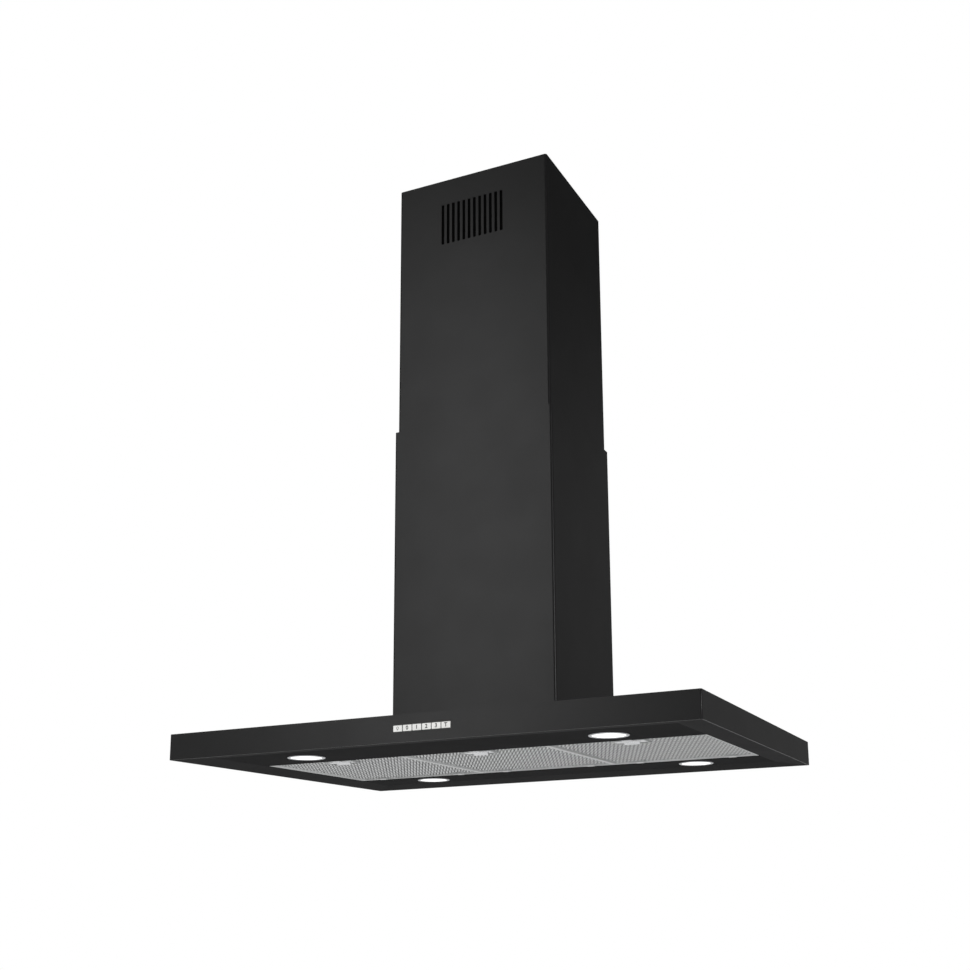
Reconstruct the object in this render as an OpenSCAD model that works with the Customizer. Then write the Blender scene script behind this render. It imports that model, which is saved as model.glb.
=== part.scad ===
// Ceiling-hung chimney range hood with a flat box canopy, three mesh filters and a telescopic chimney.
// Origin: middle of the ceiling plate's bolt pattern, on the ceiling. +Z up, front of the hood towards -Y.

/* [Overall] */
// Height from the ceiling to the underside of the canopy
hood_h = 1050; // [1000:10:1150]
// Width of the canopy
canopy_w = 900; // [840:10:1000]
// Depth of the canopy, front to back
canopy_d = 650; // [630:10:740]
// Height of the canopy's side walls
canopy_h = 42; // [40:1:56]
// Sheet thickness of the canopy
canopy_t = 1.2; // [0.8:0.1:1.6]
// Radius of the canopy's upright corners
canopy_r = 2.5; // [2:0.5:5]

/* [Underside] */
// Width of the mitred border round the underside
border_w = 52; // [44:1:60]
// Rise of the border from its outer to its inner edge
border_rise = 5; // [3:0.5:8]
// Height of the border's upturned inner lip
border_lip_h = 14; // [11:1:18]
// Depth of the front lamp panel
front_panel_d = 137; // [110:1:150]
// Depth of the rear lamp panel
rear_panel_d = 95.2; // [80:0.2:120]

/* [Filters] */
// Thickness of a filter cassette
filter_h = 9; // [8:0.5:11]
// Width of the cassette frame's rim
filter_rim = 3.5; // [2.5:0.5:8]
// Sheet thickness of the cassette frame
filter_t = 0.8; // [0.6:0.1:1.2]
// Height of the lip that stands inside the cassette frame's rim
filter_lip_h = 2; // [1:0.2:2.6]
// Recess of the cassettes above the lamp panels' underside
filter_recess = 0.8; // [0.4:0.1:2]
// Gap in front of and beside each cassette
filter_gap = 0.6; // [0.4:0.1:1.5]
// Gap behind each cassette, for its rear edge to swing in
filter_rear_gap = 2.2; // [2:0.1:4]
// Radius of the cross bars that a cassette hangs from
pivot_r = 2.5; // [2:0.1:3]
// Distance of a cassette's two cross bars from its middle
pivot_x = 85; // [60:1:100]

/* [Filter latches] */
// Width of a latch plate
latch_w = 52; // [36:1:60]
// Depth of a latch plate
latch_d = 24; // [16:1:26]
// Distance of the latch pocket's front wall from the cassette's front edge
latch_setback = 16; // [12:1:24]
// Travel of a latch when it is pulled back
latch_travel = 6; // [4:0.5:8]
// Width of the finger tab under a latch plate
latch_tab_w = 26; // [18:1:34]
// Height of the finger tab under a latch plate
latch_tab_h = 3.2; // [2:0.2:4]

/* [Lamps] */
// Distance of a lamp's middle from the border's inner edge, at the sides
lamp_inset = 130; // [80:5:160]
// Radius of a lamp's bezel
lamp_r = 31; // [27:0.5:34]
// Radius of a lamp's lens
lamp_lens_r = 25.8; // [22:0.1:26]
// Height of a lamp's body above its panel
lamp_body_h = 16; // [13:1:20]

/* [Keys] */
// Width of a key
key_w = 14.9; // [12:0.1:16]
// Height of a key
key_h = 9.4; // [8:0.1:12]
// Spacing of the keys
key_pitch = 16.3; // [16.3:0.1:20]
// Distance of the key row's middle from the canopy's middle
key_row_x = 18; // [-40:1:40]
// Travel of a key
key_travel = 1.5; // [1:0.1:2]
// Height by which the keys stand proud of the front
key_proud = 0.6; // [0:0.1:1.5]

/* [Chimney] */
// Width of the lower chimney
lower_w = 302; // [300:2:340]
// Depth of the lower chimney
lower_d = 258; // [256:2:300]
// Height of the lower chimney's top above the canopy's underside
lower_top = 580; // [540:5:620]
// Length over which the two chimneys overlap
chimney_overlap = 100; // [60:5:120]
// Step from the lower chimney's outside to the upper chimney's outside
chimney_step = 4; // [3.5:0.5:6]
// Sheet thickness of both chimneys
chimney_t = 1; // [0.8:0.1:1.5]
// Outside radius of the chimneys' bends
chimney_r = 4; // [1.6:0.1:4.5]

/* [Vents] */
// Number of vent slots on the front, and on the rear
vent_count = 12; // [8:1:16]
// Width of a vent slot
vent_w = 5.6; // [4:0.1:7]
// Spacing of the vent slots
vent_pitch = 10.6; // [9:0.1:12]
// Length of a vent slot
vent_len = 78; // [60:1:90]
// Distance of the vent slots' top from the ceiling
vent_top = 48; // [40:1:60]
// Corner radius of a vent slot
vent_r = 1.5; // [0.5:0.1:1.9]
// Spacing of the louvre slats behind the vent slots
louvre_pitch = 5; // [4:0.5:6]

/* [Ceiling plate and frame] */
// Thickness of the ceiling plate
plate_t = 3; // [2:0.5:5]
// Spacing of the ceiling bolts, side to side
bolt_x = 200; // [190:2:206]
// Spacing of the ceiling bolts, front to back
bolt_y = 190; // [184:2:196]
// Radius of the ceiling bolt holes
bolt_hole_r = 4.5; // [3.5:0.5:5]
// Width of a frame angle's flange
leg_w = 25; // [22:1:26]
// Thickness of the frame angles
leg_t = 2; // [1.5:0.1:2.5]
// Length of the upper frame below the ceiling plate
upper_frame_len = 477; // [440:1:500]
// Height of the lower frame's top below the ceiling
lower_frame_top = 300; // [280:1:310]

/* [Height adjustment] */
// Travel of the canopy upwards
lift_up = 200; // [150:5:205]
// Travel of the canopy downwards
lift_down = 60; // [20:5:60]

/* [Blower] */
// Radius of the duct collar
duct_r = 75; // [62:0.5:75]
// Height of the duct collar
collar_h = 45; // [40:1:60]
// Height of the blower box
box_h = 232; // [226:1:250]
// Radius of the blower's scroll housing
scroll_r = 76; // [70:1:78]
// Width of the scroll housing
scroll_w = 104; // [96:1:106]
// Radius of the impeller
impeller_r = 64; // [58:0.5:65]
// Width of the impeller
impeller_w = 84; // [76:1:90]
// Number of impeller blades
blade_count = 30; // [20:1:40]
// Radius of the motor's case
motor_r = 38; // [32:1:42]
// Radius of the motor's shaft
shaft_r = 5; // [4:0.5:6]

/* [Hidden] */
$fn = 48;

// Clearances
// Overrun of every cut past the face that it opens
cut = 1;
// Gap of a seat between pieces that are fixed together
seat = 0.15;
// Gap between a moving piece and what it lies in or on
slip = 0.3;
// Radial clearance of a running fit
run_fit = 0.06;
// Radial clearance of a screw in its hole
screw_fit = 0.1;

// Canopy heights and faces
canopy_z = -hood_h;
canopy_top = canopy_z + canopy_h;
front_y = -canopy_d / 2;
panel_z = canopy_z + border_rise;
inner_x = canopy_w / 2 - border_w;
inner_y = canopy_d / 2 - border_w;
zone_front = -inner_y + front_panel_d;
zone_rear = inner_y - rear_panel_d;
rail_t = 1.2;
rail_ledge = 8;
filter_z = panel_z + filter_recess;
filter_top = filter_z + filter_h;
filter_w = (2 * inner_x - 4 * filter_gap) / 3;
filter_front = zone_front + filter_gap;
filter_rear = zone_rear - filter_rear_gap;
panel_flange_h = 10;

// Filter hinge: a notch with a cross bar in the cassette's rear rim, on a hook of the rear rail
notch_w = 16.4;
hook_w = 14;
hook_t = 2.2;
hook_r = pivot_r + screw_fit;
notch_d = 2 * (hook_r + hook_t) + 2 * slip;
notch_wall = 3;
pivot_y = filter_rear - notch_d / 2;
pivot_z = filter_z + filter_h / 2;
wave_pitch = 9;
wave_t = 0.4;

// Latch pocket in the cassette, open at its underside
pocket_wall = 1;
pocket_w = latch_w + 2 * slip + 2 * pocket_wall;
pocket_d = latch_d + latch_travel + 2 * slip + 2 * pocket_wall;
pocket_front = filter_front + latch_setback;
latch_t = 1.2;
latch_lip_h = 3;
latch_lip_t = 2;
latch_depth = 0.6;
tongue_w = 18;

// Lamps
lamp_flange_t = 1.2;
lamp_sleeve_h = 10;
lamp_sleeve_t = 2;
lamp_lens_t = 2.5;
lamp_lens_inset = 0.4;
lamp_bore_r = lamp_lens_r + seat;
lamp_sleeve_r = lamp_bore_r + lamp_sleeve_t;
lamp_body_wall = 2;
lamp_body_r = lamp_sleeve_r + seat + lamp_body_wall;
fin_groove = 2;
fin_pitch = 7;
fin_depth = 5;
front_lamp_y = (-inner_y + zone_front) / 2;
rear_lamp_y = (zone_rear + inner_y) / 2;

// Keys and their housing
key_count = 6;
key_z = canopy_z + canopy_h / 2;
key_depth = 7;
key_flange_h = 1.2;
key_flange_t = 1.2;
key_clear = 0.25;
bezel_t = 2;
bezel_margin = 1.6;
bezel_w = (key_count - 1) * key_pitch + key_w + 2 * key_clear + 2 * bezel_margin;
bezel_h = key_h + 2 * key_clear + 2 * bezel_margin;
housing_wall = 1.6;
housing_d = 22;
housing_w = bezel_w + 2 * housing_wall + 4 * housing_wall;
housing_h = bezel_h + 2 * housing_wall + 4 * housing_wall;
board_t = 1.6;
switch_r = 2.5;
switch_h = 2;
board_y = front_y - key_proud + key_depth + key_travel + slip + switch_h;

// Chimney tubes
upper_w = lower_w - 2 * chimney_step;
upper_d = lower_d - 2 * chimney_step;
chimney_gap = chimney_step - chimney_t;
upper_len = hood_h - lower_top + chimney_overlap;
louvre_margin = 6;
louvre_d = 4;
louvre_t = 1.2;
glide_len = 120;
glide_h = 20;
glide_drop = 6;

// Telescopic frame: four angles above, four angles nested inside them below
frame_gap = 5;
frame_w = upper_w - 2 * chimney_t - 2 * frame_gap;
frame_d = upper_d - 2 * chimney_t - 2 * frame_gap;
nest = leg_t + slip;
strap_h = 20;
foot_screw_r = 2.5;
foot_head_r = 4.5;
foot_head_h = 3;
frame_bolt_r = 3;
frame_bolt_head_r = 5;
frame_bolt_head_h = 3;
frame_nut_h = 5;
frame_bolt_end = 2;
frame_bolt_rise = 40;
frame_bolt_pitch = 60;
slot_end = 5;
ceiling_hole_r = duct_r + 15;

// Blower box on top of the canopy, inside the lower frame
box_t = 1;
box_gap_x = 2.7;
box_gap_y = 4.7;
box_w = frame_w - 2 * (nest + leg_w + box_gap_x);
box_d = frame_d - 2 * (nest + leg_t + box_gap_y);
box_flange = 10;
inlet_w = box_w - 2 * box_t - 2 * box_flange;
inlet_d = box_d - 2 * box_t - 2 * box_flange;
box_top = canopy_top + box_h;

// Scroll housing, fan and motor
scroll_t = 2;
scroll_gap = 5;
scroll_y = -(box_d / 2 - box_t - scroll_gap - scroll_r);
scroll_z = canopy_top + box_t + 2 * scroll_gap + scroll_r;
collar_t = 2.5;
collar_in_r = duct_r - collar_t;
throat_half = sqrt(pow(collar_in_r, 2) - pow(scroll_w / 2, 2));
inlet_r = impeller_r - 9;
ring_r = 4;
blade_t = 1;
blade_d = 8;
blade_angle = 35;
rim_ring_t = 2;
hub_t = 2;
hub_r = 12;
hub_l = 14;
motor_l = 60;
motor_gap = 8;
motor_bore_l = 30;
mount_t = 3;
arm_w = 10;
arm_reach = 10;
shaft_tail = 4;

// Duct collar and its two flaps
collar_flange_r = duct_r + 12;
collar_flange_t = 2;
stop_w = 6;
stop_t = 2;
flap_t = 1.5;
flap_rise = 20;
pin_r = 2;
knuckle_r = 4;
knuckle_w = 18;
knuckle_step = 22;
flap_edge = 1;
flap_z = box_top + flap_rise;

// Electrics box on the right side of the blower box
ebox_t = 1.2;
ebox_depth = 24;
ebox_d = 120;
ebox_h = 120;
ebox_rise = 40;
ebox_z = canopy_top + ebox_rise;
gland_y = 30;
gland_bore_r = 4;
gland_body_r = 6;
gland_head_r = 9;
gland_head_h = 10;
gland_tail_h = 6;
gland_x = box_w / 2 + ebox_depth / 2;
gland_z = ebox_z + ebox_h;

// Colours
black_paint = [0.13, 0.13, 0.13];
dark_paint = [0.09, 0.09, 0.09];
aluminium = [0.66, 0.67, 0.68];
steel = [0.6, 0.61, 0.62];
black_plastic = [0.1, 0.1, 0.11];
key_grey = [0.83, 0.83, 0.82];

// Cuboid between two opposite corners
module block(low, high) {
    translate(low) cube(high - low);
}

// Rectangle with round corners, centred on the origin
module round_rect(w, d, r) {
    square([w - 2 * r, d], center = true);
    square([w, d - 2 * r], center = true);
    for (x = [-1, 1], y = [-1, 1])
        translate([x * (w / 2 - r), y * (d / 2 - r)]) circle(r);
}

// Upright tube of sheet with round bends, its bottom at z = 0
module sheet_tube(w, d, h, t, r) {
    linear_extrude(h) difference() {
        round_rect(w, d, r);
        round_rect(w - 2 * t, d - 2 * t, r - t);
    }
}

// Round tube, its bottom at z = 0
module ring(r_out, r_in, h) {
    difference() {
        cylinder(h = h, r = r_out);
        translate([0, 0, -cut]) cylinder(h = h + 2 * cut, r = r_in);
    }
}

// Places its children at the four corners, mirrored so that each looks inwards
module four_corners(x, y) {
    for (sx = [0, 1], sy = [0, 1])
        mirror([sx, 0, 0]) mirror([0, sy, 0]) translate([x, y, 0]) children();
}

// Places its children at the two lamp positions of one panel
module at_lamps(y) {
    for (side = [-1, 1]) translate([lamp_x(side), y, 0]) children();
}

// Middle of a key, counted from the left
function key_x(i) = key_row_x + (i - (key_count - 1) / 2) * key_pitch;

// Middle of a lamp: -1 left, 1 right
function lamp_x(side) = side * (inner_x - lamp_inset);

// Middle of a filter cassette: -1 left, 0 middle, 1 right
function filter_x(side) = side * (filter_w + filter_gap);

// Ceiling plate, frame and fasteners

module ceiling_plate() {
    plate_w = upper_w - 2 * chimney_t - 2 * slip;
    plate_d = upper_d - 2 * chimney_t - 2 * slip;
    color(steel) difference() {
        translate([0, 0, -plate_t]) linear_extrude(plate_t) round_rect(plate_w, plate_d, chimney_r);
        translate([0, 0, -plate_t - cut]) cylinder(h = plate_t + 2 * cut, r = ceiling_hole_r);
        for (x = [-1, 1], y = [-1, 1])
            translate([x * bolt_x / 2, y * bolt_y / 2, -plate_t - cut])
                cylinder(h = plate_t + 2 * cut, r = bolt_hole_r);
        four_corners(foot_x(0), foot_y(0))
            translate([0, 0, -plate_t - cut])
                cylinder(h = plate_t + 2 * cut, r = foot_screw_r + screw_fit);
    }
}

// Foot screw position, inset by the nesting of the frame
function foot_x(inset) = frame_w / 2 - inset - leg_w / 2 - leg_t / 2;
function foot_y(inset) = frame_d / 2 - inset - leg_w / 2 - leg_t / 2;

// Four angles joined by straps at both ends, with a foot plate at one end of each angle
module angle_frame(inset, z_low, z_high, foot_z) {
    x = frame_w / 2 - inset;
    y = frame_d / 2 - inset;
    four_corners(0, 0) {
        block([x - leg_t, y - leg_w, z_low], [x, y, z_high]);
        block([x - leg_w, y - leg_t, z_low], [x, y, z_high]);
        block([x - leg_w, y - leg_w, foot_z], [x, y, foot_z + leg_t]);
    }
    for (z = [z_low, z_high - strap_h], s = [0, 1]) {
        mirror([s, 0, 0]) block([x - leg_t, -y, z], [x, y, z + strap_h]);
        mirror([0, s, 0]) block([-x, y - leg_t, z], [x, y, z + strap_h]);
    }
}

upper_frame_low = -plate_t - upper_frame_len;
function frame_bolt_z(i) = upper_frame_low + frame_bolt_rise + i * frame_bolt_pitch;
frame_bolt_y = frame_d / 2 - leg_w / 2;

module upper_frame() {
    color(steel) difference() {
        angle_frame(0, upper_frame_low, -plate_t, -plate_t - leg_t);
        four_corners(foot_x(0), foot_y(0))
            translate([0, 0, -plate_t - leg_t - cut])
                cylinder(h = leg_t + 2 * cut, r = foot_screw_r + screw_fit);
        for (i = [0, 1])
            four_corners(frame_w / 2, frame_bolt_y)
                translate([-leg_t - cut, 0, frame_bolt_z(i)]) rotate([0, 90, 0])
                    cylinder(h = leg_t + 2 * cut, r = frame_bolt_r + screw_fit);
    }
}

// Height-adjustment bolts with nuts, and the screws that hold the upper frame to the ceiling plate
module frame_fasteners() {
    shank = 2 * leg_t + 2 * slip + frame_nut_h + frame_bolt_end;
    color(steel) {
        for (i = [0, 1])
            four_corners(frame_w / 2, frame_bolt_y) translate([0, 0, frame_bolt_z(i)]) rotate([0, 90, 0]) {
                cylinder(h = frame_bolt_head_h, r = frame_bolt_head_r);
                translate([0, 0, -shank]) cylinder(h = shank, r = frame_bolt_r);
                translate([0, 0, -shank + frame_bolt_end])
                    cylinder(h = frame_nut_h, r = frame_bolt_head_r, $fn = 6);
            }
        four_corners(foot_x(0), foot_y(0)) {
            translate([0, 0, -plate_t - leg_t]) cylinder(h = plate_t + leg_t - slip, r = foot_screw_r);
            translate([0, 0, -plate_t - leg_t - foot_head_h]) cylinder(h = foot_head_h, r = foot_head_r);
        }
    }
}

module lower_frame() {
    low = canopy_top;
    slot_low = frame_bolt_z(0) - lift_up - slot_end;
    slot_high = frame_bolt_z(1) + lift_down + slot_end;
    slot_w = 2 * (frame_bolt_r + slip);
    color(steel) difference() {
        angle_frame(nest, low, -lower_frame_top, low);
        four_corners(foot_x(nest), foot_y(nest))
            translate([0, 0, low - cut]) cylinder(h = leg_t + 2 * cut, r = foot_screw_r + screw_fit);
        four_corners(0, 0)
            block([frame_w / 2 - nest - leg_t - cut, frame_bolt_y - slot_w / 2, slot_low],
                [frame_w / 2 - nest + cut, frame_bolt_y + slot_w / 2, slot_high]);
    }
}

// Screws that hold the lower frame's feet to the canopy, with nuts under the sheet
module frame_screws() {
    color(steel) four_corners(foot_x(nest), foot_y(nest)) {
        translate([0, 0, canopy_top + leg_t]) cylinder(h = foot_head_h, r = foot_head_r);
        translate([0, 0, canopy_top - canopy_t - foot_head_h])
            cylinder(h = foot_head_h + canopy_t + leg_t, r = foot_screw_r);
        translate([0, 0, canopy_top - canopy_t - foot_head_h])
            cylinder(h = foot_head_h, r = foot_head_r, $fn = 6);
    }
}

// Chimneys

module vent_slots(d) {
    for (i = [0 : vent_count - 1])
        translate([(i - (vent_count - 1) / 2) * vent_pitch, d / 2 + cut, -vent_top - vent_len / 2])
            rotate([90, 0, 0]) linear_extrude(d + 2 * cut) round_rect(vent_w, vent_len, vent_r);
}

module upper_chimney() {
    color(black_paint) difference() {
        translate([0, 0, -upper_len]) sheet_tube(upper_w, upper_d, upper_len, chimney_t, chimney_r);
        vent_slots(upper_d);
    }
}

// Slats behind the vent slots, front and rear, high at the wall and low inside
module outlet_louvres() {
    half_w = vent_count * vent_pitch / 2;
    top = -vent_top;
    bottom = -vent_top - vent_len;
    y = upper_d / 2 - chimney_t - seat;
    count = floor(vent_len / louvre_pitch);
    slat = [[y, 0], [y, -louvre_t], [y - louvre_d, -louvre_d - louvre_t], [y - louvre_d, -louvre_d]];
    color(black_plastic) for (s = [0, 1]) mirror([0, s, 0]) {
        difference() {
            block([-half_w - louvre_margin, y - louvre_d, bottom - louvre_margin],
                [half_w + louvre_margin, y, top + louvre_margin]);
            block([-half_w, y - louvre_d - cut, bottom], [half_w, y + cut, top]);
        }
        intersection() {
            for (i = [0 : count]) translate([-half_w, 0, top + louvre_d - i * louvre_pitch])
                rotate([90, 0, 90]) linear_extrude(2 * half_w) polygon(slat);
            block([-half_w, y - louvre_d, bottom], [half_w, y, top]);
        }
    }
}

module lower_chimney() {
    color(black_paint) translate([0, 0, canopy_top])
        sheet_tube(lower_w, lower_d, lower_top - canopy_h, chimney_t, chimney_r);
}

// Four strips inside the lower chimney's top that keep the upper one centred
module chimney_glides() {
    glide_t = chimney_gap - slip;
    x = lower_w / 2 - chimney_t;
    y = lower_d / 2 - chimney_t;
    z = canopy_z + lower_top - glide_drop - glide_h;
    color(black_plastic) for (s = [0, 1]) {
        mirror([s, 0, 0]) block([x - glide_t, -glide_len / 2, z], [x, glide_len / 2, z + glide_h]);
        mirror([0, s, 0]) block([-glide_len / 2, y - glide_t, z], [glide_len / 2, y, z + glide_h]);
    }
}

// Canopy

module canopy_shell() {
    inside_r = canopy_r - canopy_t;
    color(black_paint) difference() {
        translate([0, 0, canopy_z]) linear_extrude(canopy_h) round_rect(canopy_w, canopy_d, canopy_r);
        translate([0, 0, canopy_z - cut]) linear_extrude(canopy_h - canopy_t + cut)
            round_rect(canopy_w - 2 * canopy_t, canopy_d - 2 * canopy_t, inside_r);
        translate([-inlet_w / 2, -inlet_d / 2, canopy_z]) cube([inlet_w, inlet_d, canopy_h + cut]);
        four_corners(foot_x(nest), foot_y(nest))
            translate([0, 0, canopy_top - canopy_t - cut])
                cylinder(h = canopy_t + 2 * cut, r = foot_screw_r + screw_fit);
        block([key_row_x - bezel_w / 2 - seat, front_y - cut, key_z - bezel_h / 2 - seat],
            [key_row_x + bezel_w / 2 + seat, front_y + canopy_t + cut, key_z + bezel_h / 2 + seat]);
    }
}

// One mitred side of the border, its outer edge along X at y = 0, sloping up towards +Y
module border_side(length) {
    profile = [[0, 0], [border_w - canopy_t, border_rise], [border_w - canopy_t, border_rise + border_lip_h],
        [border_w - 2 * canopy_t, border_rise + border_lip_h],
        [border_w - 2 * canopy_t, border_rise + canopy_t], [0, canopy_t]];
    mitre = border_w - canopy_t;
    intersection() {
        translate([-length / 2, 0, 0]) rotate([90, 0, 90]) linear_extrude(length) polygon(profile);
        translate([0, 0, -cut]) linear_extrude(border_rise + border_lip_h + 2 * cut)
            polygon([[-length / 2, 0], [length / 2, 0], [length / 2 - mitre, mitre], [-length / 2 + mitre, mitre]]);
    }
}

module underside_border() {
    w = canopy_w - 2 * canopy_t;
    d = canopy_d - 2 * canopy_t;
    corner = canopy_r - canopy_t;
    color(black_paint) intersection() {
        translate([0, 0, canopy_z]) {
            translate([0, -d / 2, 0]) border_side(w);
            rotate(180) translate([0, -d / 2, 0]) border_side(w);
            rotate(90) translate([0, -w / 2, 0]) border_side(d);
            rotate(-90) translate([0, -w / 2, 0]) border_side(d);
        }
        translate([0, 0, canopy_z - cut]) linear_extrude(canopy_h) round_rect(w, d, corner);
    }
}

// Lamp panel between two Y values: flat sheet with upturned ends, one upturned long side and two lamp holes
module lamp_panel(y_low, y_high, flange_y, lamp_y) {
    x = inner_x - seat;
    top = panel_z + canopy_t + panel_flange_h;
    color(dark_paint) difference() {
        union() {
            block([-x, y_low, panel_z], [x, y_high, panel_z + canopy_t]);
            for (s = [0, 1]) mirror([s, 0, 0]) block([x - canopy_t, y_low, panel_z], [x, y_high, top]);
            block([-x, flange_y, panel_z], [x, flange_y + canopy_t, top]);
        }
        at_lamps(lamp_y) translate([0, 0, panel_z - cut])
            cylinder(h = canopy_t + 2 * cut, r = lamp_sleeve_r + seat);
    }
}

module front_lamp_panel() {
    y_low = -inner_y + seat;
    lamp_panel(y_low, zone_front - rail_t, y_low, front_lamp_y);
}

module rear_lamp_panel() {
    y_high = inner_y - seat;
    lamp_panel(zone_rear + rail_t, y_high, y_high - canopy_t, rear_lamp_y);
}

// Rail in front of the cassettes, with the ledge that they close against
module front_filter_rail() {
    x = inner_x - seat;
    top = filter_top + slip + rail_t;
    color(dark_paint) {
        block([-x, zone_front - rail_t, panel_z], [x, zone_front, top]);
        block([-x, zone_front - rail_t, top - rail_t], [x, zone_front + rail_ledge, top]);
    }
}

// Hook under a cassette's cross bar: half-round saddle with an arm back to the rail
module pivot_hook() {
    outer = hook_r + hook_t;
    translate([-hook_w / 2, pivot_y, pivot_z]) rotate([90, 0, 90]) linear_extrude(hook_w) difference() {
        union() {
            circle(outer);
            translate([0, -outer]) square([zone_rear - pivot_y + rail_t, hook_t]);
        }
        circle(hook_r);
        translate([-outer - cut, 0]) square([2 * outer + 2 * cut, outer + cut]);
    }
}

module rear_filter_rail() {
    x = inner_x - seat;
    top = filter_top + slip + rail_t;
    color(dark_paint) {
        block([-x, zone_rear, panel_z], [x, zone_rear + rail_t, top]);
        for (side = [-1, 0, 1], s = [-1, 1]) translate([filter_x(side) + s * pivot_x, 0, 0]) pivot_hook();
    }
}

// Filters

// Cassette frame: folded rim with an inner lip, two rear notches with cross bars, and the latch pocket
module filter_frame(side) {
    w = filter_w / 2;
    rim_in = w - filter_rim;
    wall = filter_t;
    translate([filter_x(side), 0, 0]) color(aluminium) difference() {
        union() {
            difference() {
                block([-w, filter_front, filter_z], [w, filter_rear, filter_top]);
                difference() {
                    block([-w + wall, filter_front + wall, filter_z + wall],
                        [w - wall, filter_rear - wall, filter_top - wall]);
                    block([-rim_in - wall, filter_front + filter_rim - wall, filter_z],
                        [rim_in + wall, filter_rear - filter_rim + wall, filter_z + wall + filter_lip_h]);
                }
                block([-rim_in, filter_front + filter_rim, filter_z - cut],
                    [rim_in, filter_rear - filter_rim, filter_top + cut]);
            }
            for (s = [-1, 1]) translate([s * pivot_x, 0, 0]) block(
                [-notch_w / 2 - notch_wall, filter_rear - notch_d - notch_wall, filter_z],
                [notch_w / 2 + notch_wall, filter_rear, filter_top]);
            block([-pocket_w / 2, filter_front, filter_z + latch_depth + latch_t + slip],
                [pocket_w / 2, pocket_front, filter_top]);
            block([-pocket_w / 2, pocket_front, filter_z], [pocket_w / 2, pocket_front + pocket_d, filter_top]);
        }
        for (s = [-1, 1]) translate([s * pivot_x, 0, 0]) difference() {
            block([-notch_w / 2, filter_rear - notch_d, filter_z - cut],
                [notch_w / 2, filter_rear + cut, filter_top + cut]);
            translate([-notch_w / 2 - cut, pivot_y, pivot_z]) rotate([0, 90, 0])
                cylinder(h = notch_w + 2 * cut, r = pivot_r);
        }
        block([-pocket_w / 2 + pocket_wall, pocket_front + pocket_wall, filter_z - cut],
            [pocket_w / 2 - pocket_wall, pocket_front + pocket_d - pocket_wall, filter_top - pocket_wall]);
        block([-tongue_w / 2 - slip, filter_front - cut, filter_z + latch_depth - slip],
            [tongue_w / 2 + slip, pocket_front + pocket_wall + cut, filter_z + latch_depth + latch_t + slip]);
    }
}

// Filter medium: a waved layer between two flat layers
module filter_mesh(side) {
    w = filter_w / 2 - filter_t - seat;
    low = filter_z + filter_t + filter_lip_h;
    high = filter_top - filter_t;
    y_low = filter_front + filter_t + seat;
    y_high = filter_rear - filter_t - seat;
    waves = floor((y_high - y_low) / wave_pitch);
    rise = high - low - wave_t;
    crest = [for (i = [0 : waves]) [y_low + i * wave_pitch, low + (i % 2) * rise]];
    trough = [for (i = [waves : -1 : 0]) [y_low + i * wave_pitch, low + (i % 2) * rise + wave_t]];
    translate([filter_x(side), 0, 0]) color(aluminium) difference() {
        union() {
            block([-w, y_low, low], [w, y_high, low + wave_t]);
            block([-w, y_low, high - wave_t], [w, y_high, high]);
            translate([-w, 0, 0]) rotate([90, 0, 90]) linear_extrude(2 * w) polygon(concat(crest, trough));
        }
        for (s = [-1, 1]) translate([s * pivot_x, 0, 0]) block(
            [-notch_w / 2 - notch_wall - seat, filter_rear - notch_d - notch_wall - seat, filter_z],
            [notch_w / 2 + notch_wall + seat, filter_rear, filter_top]);
        block([-pocket_w / 2 - seat, filter_front, filter_z],
            [pocket_w / 2 + seat, pocket_front + pocket_d + seat, filter_top]);
    }
}

// Sliding latch: plate with a stiffening lip, a finger tab, and a tongue through the cassette's front rim
module filter_latch(side) {
    low = filter_z + latch_depth;
    y = pocket_front + pocket_wall + slip;
    translate([filter_x(side), 0, 0]) color(aluminium) {
        block([-latch_w / 2, y, low], [latch_w / 2, y + latch_d, low + latch_t]);
        block([-latch_w / 2, y + latch_d - latch_lip_t, low],
            [latch_w / 2, y + latch_d, low + latch_t + latch_lip_h]);
        block([-latch_tab_w / 2, y + latch_d - latch_lip_t, low - latch_tab_h],
            [latch_tab_w / 2, y + latch_d, low]);
        block([-tongue_w / 2, filter_front, low], [tongue_w / 2, y, low + latch_t]);
    }
}

module left_filter_frame() { filter_frame(-1); }
module left_filter_mesh() { filter_mesh(-1); }
module left_filter_latch() { filter_latch(-1); }
module middle_filter_frame() { filter_frame(0); }
module middle_filter_mesh() { filter_mesh(0); }
module middle_filter_latch() { filter_latch(0); }
module right_filter_frame() { filter_frame(1); }
module right_filter_mesh() { filter_mesh(1); }
module right_filter_latch() { filter_latch(1); }

// Lamps

// Bezel: flange under the panel and a sleeve up through its hole
module lamp_bezel(side, y) {
    translate([lamp_x(side), y, 0]) color(steel) {
        translate([0, 0, panel_z - lamp_flange_t]) ring(lamp_r, lamp_bore_r, lamp_flange_t);
        translate([0, 0, panel_z]) ring(lamp_sleeve_r, lamp_bore_r, lamp_sleeve_h);
    }
}

module lamp_lens(side, y) {
    translate([lamp_x(side), y, panel_z - lamp_flange_t + lamp_lens_inset])
        color("white") cylinder(h = lamp_lens_t, r = lamp_lens_r);
}

// Finned body that sits on the panel round the sleeve
module lamp_body(side, y) {
    low = panel_z + canopy_t;
    translate([lamp_x(side), y, 0]) color(black_plastic) difference() {
        translate([0, 0, low]) cylinder(h = lamp_body_h, r = lamp_body_r);
        translate([0, 0, low - cut])
            cylinder(h = lamp_sleeve_h - canopy_t + seat + cut, r = lamp_sleeve_r + seat);
        for (i = [-2 : 2])
            translate([i * fin_pitch - fin_groove / 2, -lamp_body_r - cut, low + lamp_body_h - fin_depth])
                cube([fin_groove, 2 * lamp_body_r + 2 * cut, fin_depth + cut]);
    }
}

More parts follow.
